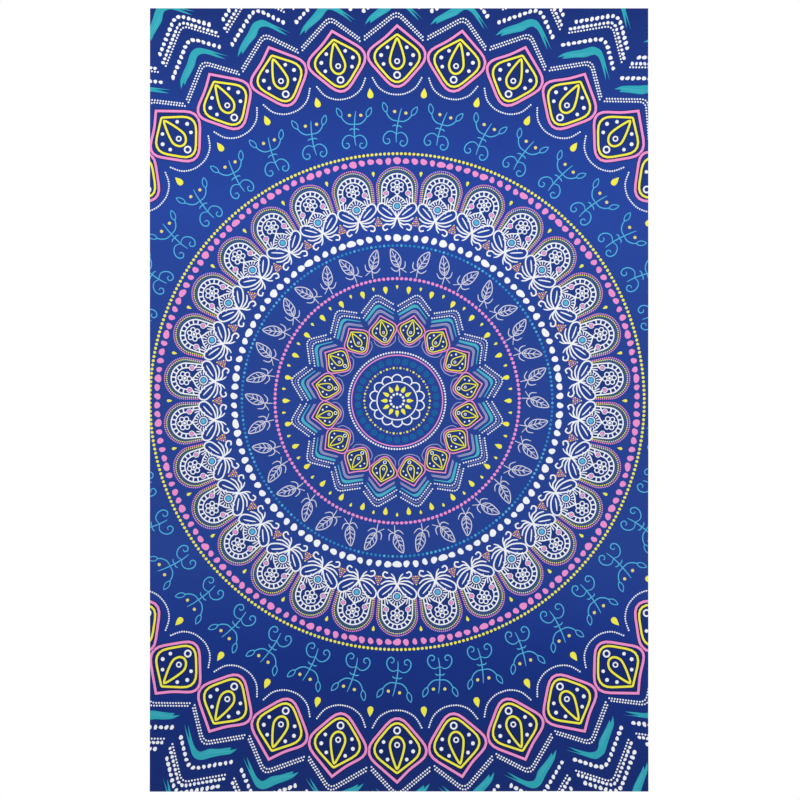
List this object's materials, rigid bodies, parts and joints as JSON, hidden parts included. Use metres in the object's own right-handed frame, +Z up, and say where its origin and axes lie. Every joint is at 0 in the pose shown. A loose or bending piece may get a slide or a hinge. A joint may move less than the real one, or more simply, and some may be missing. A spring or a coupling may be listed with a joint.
{
  "type": "tapestry wall hanging",
  "caption": "Tall rectangular printed cloth hanging with a dotted mandala, edges turned under twice and sewn, held along its top hem.",
  "frame": {"origin": "middle of the top edge, on the plane of the wall that the hanging lies against", "axes": "+Z up the hanging, +X across it to the right as seen from the printed face, +Y into the wall; the printed face looks along -Y"},
  "size_m": [1.4, 0.0012, 2.2],
  "materials": {
    "printed_cloth": "thin woven polyester, printed on the face, matt with a slight sheen",
    "hem_cloth": "the same printed cloth turned over, matt",
    "sewing_thread": "navy spun polyester thread, slightly glossy"
  },
  "bodies": {
    "root": {"cloth_panel": "printed_cloth", "top_hem": "hem_cloth", "bottom_hem": "hem_cloth", "left_hem": "hem_cloth", "right_hem": "hem_cloth", "top_needle_thread": "sewing_thread", "bottom_needle_thread": "sewing_thread", "left_needle_thread": "sewing_thread", "right_needle_thread": "sewing_thread", "top_bobbin_thread": "sewing_thread", "bottom_bobbin_thread": "sewing_thread", "left_bobbin_thread": "sewing_thread", "right_bobbin_thread": "sewing_thread"}
  },
  "joints": []
}
